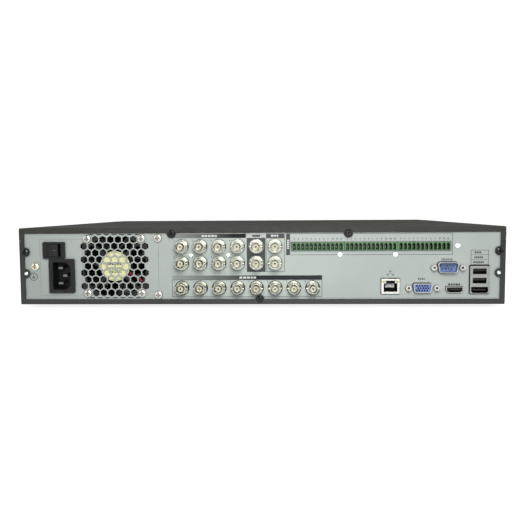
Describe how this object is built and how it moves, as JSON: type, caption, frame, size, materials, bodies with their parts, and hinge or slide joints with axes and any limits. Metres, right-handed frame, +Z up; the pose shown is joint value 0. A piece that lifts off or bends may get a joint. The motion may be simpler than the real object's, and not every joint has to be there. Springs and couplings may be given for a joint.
{
  "type": "dvr recorder",
  "caption": "Rack-width surveillance video recorder with a rear connector panel, fan vent, mains inlet and a front with keys and a jog dial.",
  "frame": {"origin": "centre of the bounding box at the bottom of the rubber feet", "axes": "+Z up, -Y out of the rear connector panel, +Y out of the operator's front, +X to the right when the connector panel is faced"},
  "size_m": [0.44, 0.402, 0.0745],
  "materials": {
    "case_paint": "fine textured powder coat, satin",
    "cover_paint": "fine textured powder coat, warm dark grey",
    "panel_paint": "smooth light grey paint, satin",
    "black_plastic": "moulded, fine texture",
    "rocker_plastic": "moulded, semi-gloss",
    "wire_jacket": "extruded vinyl",
    "bright_steel": "bright zinc or tin plate",
    "earth_brass": "passivated plate",
    "black_screw": "black oxide",
    "nickel": "warm nickel plate",
    "insulator": "cream, waxy",
    "contact_gold": "thin gold plate",
    "terminal_green": "moulded, satin",
    "socket_steel": "bright nickel plate, stamped",
    "led_lens": "clear tinted",
    "vga_blue": "moulded, satin",
    "serial_blue": "moulded, satin",
    "circuit_board": "green solder mask",
    "heatsink": "black anodised",
    "zinc_sheet": "zinc-plated sheet",
    "drive_casting": "cast and machined",
    "foot_rubber": "matte",
    "bezel_plastic": "moulded, fine texture",
    "smoked_window": "polished smoked acrylic",
    "key_plastic": "moulded, satin",
    "dial_metal": "turned and anodised"
  },
  "bodies": {
    "recorder": {"bottom_chassis": "case_paint", "top_cover": "cover_paint", "power_panel": "panel_paint", "io_panel": "panel_paint", "fan_frame": "black_plastic", "power_switch_body": "black_plastic", "ac_inlet_body": "black_plastic", "rj45_insert": "black_plastic", "hdmi_tongue": "black_plastic", "usb_insert": "black_plastic", "fan_cable": "wire_jacket", "panel_screws": "bright_steel", "rivets": "bright_steel", "serial_pins": "bright_steel", "jack_screws": "bright_steel", "terminal_pins": "bright_steel", "ac_inlet_pins": "bright_steel", "earth_screw": "earth_brass", "cover_screws": "black_screw", "audio_bnc_shells": "nickel", "video_bnc_shells": "nickel", "bnc_insulators": "insulator", "bnc_contacts": "contact_gold", "rj45_contacts": "contact_gold", "terminal_block_1": "terminal_green", "terminal_block_2": "terminal_green", "terminal_block_3": "terminal_green", "rj45_shell": "socket_steel", "vga_shell": "socket_steel", "serial_shell": "socket_steel", "hdmi_shell": "socket_steel", "usb_shell": "socket_steel", "rj45_leds": "led_lens", "vga_insert": "vga_blue", "serial_insert": "serial_blue", "main_board": "circuit_board", "io_board": "circuit_board", "alarm_board": "circuit_board", "front_board": "circuit_board", "psu_board": "circuit_board", "processor_heatsink": "heatsink", "psu_case": "zinc_sheet", "drive_bracket": "zinc_sheet", "hard_drive_1": "drive_casting", "hard_drive_2": "drive_casting", "rubber_feet": "foot_rubber", "front_bezel": "bezel_plastic", "front_window": "smoked_window"},
    "fan_impeller": {"fan_rotor": "black_plastic"},
    "switch_rocker": {"power_switch_rocker": "rocker_plastic"},
    "jog": {"jog_dial": "dial_metal"},
    "shuttle": {"shuttle_ring": "dial_metal"},
    "power_key_cap": {"power_key": "key_plastic"},
    "up_key_cap": {"up_key": "key_plastic"},
    "down_key_cap": {"down_key": "key_plastic"},
    "left_key_cap": {"left_key": "key_plastic"},
    "right_key_cap": {"right_key": "key_plastic"},
    "enter_key_cap": {"enter_key": "key_plastic"},
    "escape_key_cap": {"escape_key": "key_plastic"},
    "function_key_cap": {"function_key": "key_plastic"}
  },
  "joints": [
    {"name": "rocker_tip", "type": "hinge", "parent": "recorder", "child": "switch_rocker", "pos_m": [-0.18795, -0.1873, 0.05425], "axis": [0, 0, 1], "range_deg": [0, 20]},
    {"name": "fan_spin", "type": "hinge", "parent": "recorder", "child": "fan_impeller", "pos_m": [-0.1326, -0.179, 0.0394], "axis": [0, 1, 0], "continuous": true},
    {"name": "jog_turn", "type": "hinge", "parent": "recorder", "child": "jog", "pos_m": [-0.158, 0.189, 0.0395], "axis": [0, 1, 0], "continuous": true},
    {"name": "shuttle_turn", "type": "hinge", "parent": "recorder", "child": "shuttle", "pos_m": [-0.158, 0.189, 0.0395], "axis": [0, 1, 0], "range_deg": [-70, 70], "stiffness_Nm_per_rad": 0.02},
    {"name": "power_press", "type": "slide", "parent": "recorder", "child": "power_key_cap", "axis": [0, -1, 0], "range_m": [0, 0.0012], "stiffness_N_per_m": 300, "springref_m": -0.001},
    {"name": "up_press", "type": "slide", "parent": "recorder", "child": "up_key_cap", "axis": [0, -1, 0], "range_m": [0, 0.0012], "stiffness_N_per_m": 300, "springref_m": -0.001},
    {"name": "down_press", "type": "slide", "parent": "recorder", "child": "down_key_cap", "axis": [0, -1, 0], "range_m": [0, 0.0012], "stiffness_N_per_m": 300, "springref_m": -0.001},
    {"name": "left_press", "type": "slide", "parent": "recorder", "child": "left_key_cap", "axis": [0, -1, 0], "range_m": [0, 0.0012], "stiffness_N_per_m": 300, "springref_m": -0.001},
    {"name": "right_press", "type": "slide", "parent": "recorder", "child": "right_key_cap", "axis": [0, -1, 0], "range_m": [0, 0.0012], "stiffness_N_per_m": 300, "springref_m": -0.001},
    {"name": "enter_press", "type": "slide", "parent": "recorder", "child": "enter_key_cap", "axis": [0, -1, 0], "range_m": [0, 0.0012], "stiffness_N_per_m": 300, "springref_m": -0.001},
    {"name": "escape_press", "type": "slide", "parent": "recorder", "child": "escape_key_cap", "axis": [0, -1, 0], "range_m": [0, 0.0012], "stiffness_N_per_m": 300, "springref_m": -0.001},
    {"name": "function_press", "type": "slide", "parent": "recorder", "child": "function_key_cap", "axis": [0, -1, 0], "range_m": [0, 0.0012], "stiffness_N_per_m": 300, "springref_m": -0.001}
  ]
}
